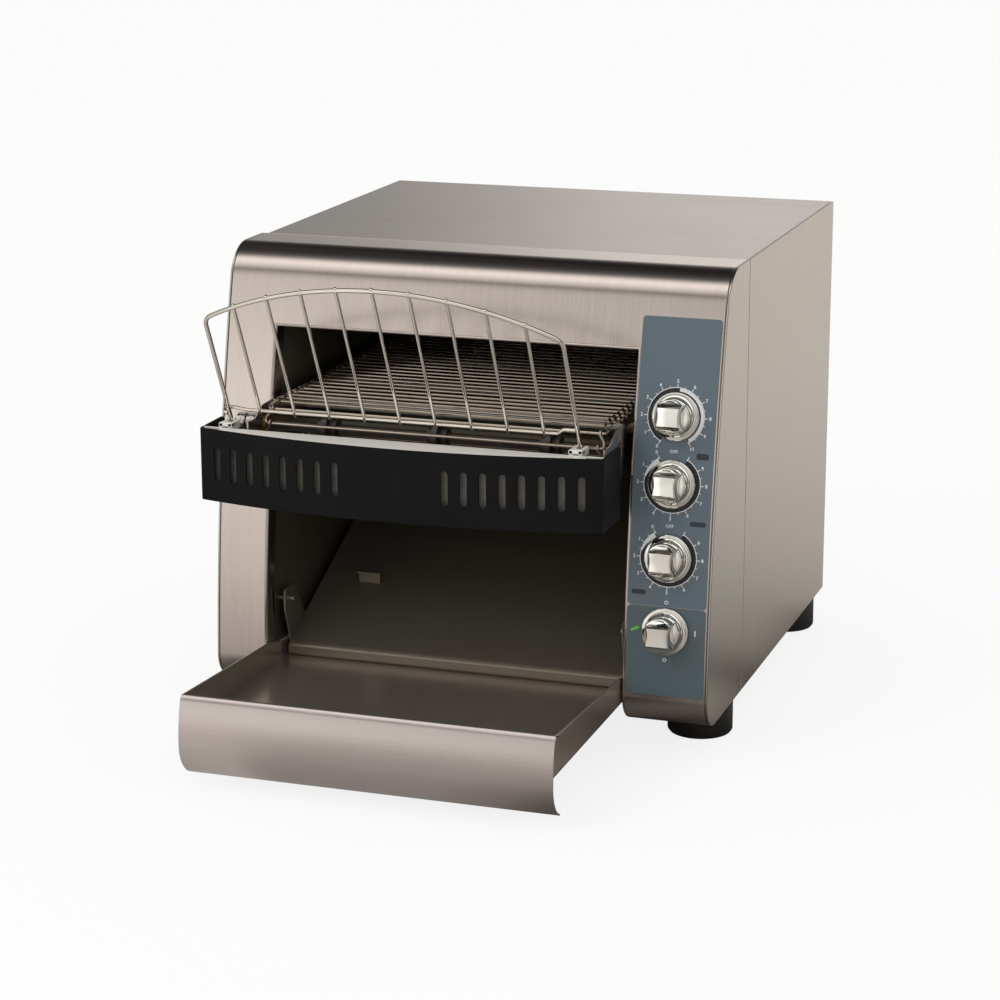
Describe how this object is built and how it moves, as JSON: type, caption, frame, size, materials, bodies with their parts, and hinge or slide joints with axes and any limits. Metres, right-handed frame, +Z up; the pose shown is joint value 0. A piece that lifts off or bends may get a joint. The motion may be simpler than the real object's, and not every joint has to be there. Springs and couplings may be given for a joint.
{
  "type": "conveyor toaster",
  "caption": "Countertop conveyor toaster with a wire belt, slotted bow guard, wire load guard, control dials and a pull-out product tray.",
  "frame": {"origin": "on the floor, under the middle of the machine's overall box, tray pulled out as shown", "axes": "+X to the right seen from the front, +Y to the rear, +Z up"},
  "size_m": [0.376, 0.5508, 0.346],
  "materials": {
    "brushed_steel": "brushed stainless sheet",
    "bright_steel": "smooth bright stainless sheet",
    "chamber_sheet": "heat-tinted aluminised sheet",
    "rail_steel": "plain stainless",
    "bright_wire": "polished stainless wire",
    "belt_wire": "bright wire",
    "black_paint": "satin black powder coat",
    "knob_chrome": "bright plated",
    "label_film": "printed blue-grey film",
    "rubber": "black moulded",
    "quartz": "clear quartz",
    "ceramic": "white ceramic",
    "bronze": "sintered bronze",
    "chain_steel": "oiled steel",
    "cast_grey": "cast housing",
    "black_plastic": "moulded",
    "grey_plastic": "moulded",
    "board_green": "circuit board",
    "aluminium": "plain",
    "plated_hardware": "zinc plated"
  },
  "bodies": {
    "cabinet": {"base_pan": "chamber_sheet", "burn_guard": "black_paint", "ceramic_caps": "ceramic", "chamber_roof": "chamber_sheet", "chamber_wall_left": "chamber_sheet", "chamber_wall_rear": "chamber_sheet", "chamber_wall_right": "chamber_sheet", "chute_pins": "plated_hardware", "control_labels": "label_film", "control_nuts": "plated_hardware", "conveyor_belt": "belt_wire", "conveyor_rail_left": "rail_steel", "conveyor_rail_right": "rail_steel", "drive_chain": "chain_steel", "fan_frame": "black_plastic", "fan_guard": "plated_hardware", "feet": "rubber", "foot_screws": "plated_hardware", "front_casing": "brushed_steel", "front_channel": "bright_steel", "front_cheek_left": "brushed_steel", "front_cheek_right": "brushed_steel", "gearmotor": "cast_grey", "guard_clips": "plated_hardware", "heat_controls": "grey_plastic", "heater_tubes": "quartz", "inlet_gland": "black_plastic", "limit_thermostat": "aluminium", "lower_reflector": "chamber_sheet", "power_switch": "grey_plastic", "rail_spacers": "plated_hardware", "rear_panel": "brushed_steel", "rear_screws": "plated_hardware", "shaft_bushes": "bronze", "side_panel_left": "brushed_steel", "side_panel_right": "brushed_steel", "speed_board": "board_green", "speed_control": "black_plastic", "terminal_block": "black_plastic", "toast_chute": "bright_steel", "top_cover": "brushed_steel", "tray_runners": "chamber_sheet"},
    "speed_dial": {"speed_knob": "knob_chrome", "speed_shaft": "rail_steel"},
    "top_heat_dial": {"top_heat_knob": "knob_chrome", "top_heat_shaft": "rail_steel"},
    "bottom_heat_dial": {"bottom_heat_knob": "knob_chrome", "bottom_heat_shaft": "rail_steel"},
    "power_dial": {"power_knob": "knob_chrome", "power_shaft": "rail_steel"},
    "load_guard": {"load_guard": "bright_wire"},
    "product_tray": {"product_tray": "brushed_steel"},
    "drive_axle": {"drive_shaft": "rail_steel", "drive_wheels": "rail_steel", "drive_sprocket": "chain_steel"},
    "idler_axle": {"idler_shaft": "rail_steel", "idler_wheels": "rail_steel", "idler_collars": "plated_hardware"},
    "motor_output": {"motor_pinion": "chain_steel"},
    "fan": {"fan_rotor": "black_plastic"}
  },
  "joints": [
    {"name": "speed_dial_turn", "type": "hinge", "parent": "cabinet", "child": "speed_dial", "pos_m": [0.156, -0.09325, 0.2465], "axis": [0, 0.9817, -0.1904], "range_deg": [-150, 150]},
    {"name": "top_heat_dial_turn", "type": "hinge", "parent": "cabinet", "child": "top_heat_dial", "pos_m": [0.156, -0.10146, 0.2], "axis": [0, 0.9876, -0.1572], "range_deg": [-330, 0]},
    {"name": "bottom_heat_dial_turn", "type": "hinge", "parent": "cabinet", "child": "bottom_heat_dial", "pos_m": [0.156, -0.10873, 0.148], "axis": [0, 0.9928, -0.1201], "range_deg": [-330, 0]},
    {"name": "power_dial_turn", "type": "hinge", "parent": "cabinet", "child": "power_dial", "pos_m": [0.156, -0.11404, 0.096], "axis": [0, 0.9966, -0.0829], "range_deg": [0, 270]},
    {"name": "load_guard_lift", "type": "slide", "parent": "cabinet", "child": "load_guard", "axis": [0, -0.4509, 0.8926], "range_m": [0, 0.03]},
    {"name": "product_tray_slide", "type": "slide", "parent": "cabinet", "child": "product_tray", "axis": [0, -1, 0], "range_m": [-0.15, 0.09]},
    {"name": "drive_axle_turn", "type": "hinge", "parent": "cabinet", "child": "drive_axle", "pos_m": [0, 0.181, 0.2242], "axis": [1, 0, 0], "continuous": true},
    {"name": "idler_axle_turn", "type": "hinge", "parent": "cabinet", "child": "idler_axle", "pos_m": [0, -0.116, 0.2242], "axis": [1, 0, 0], "continuous": true},
    {"name": "motor_output_turn", "type": "hinge", "parent": "cabinet", "child": "motor_output", "pos_m": [0, 0.14, 0.16], "axis": [1, 0, 0], "continuous": true},
    {"name": "fan_turn", "type": "hinge", "parent": "cabinet", "child": "fan", "pos_m": [-0.0115, 0.25, 0.286], "axis": [0, 1, 0], "continuous": true}
  ],
  "couplings": [
    {"joint": "idler_axle_turn", "follows": "drive_axle_turn", "ratio": 1},
    {"joint": "motor_output_turn", "follows": "drive_axle_turn", "ratio": 2}
  ]
}
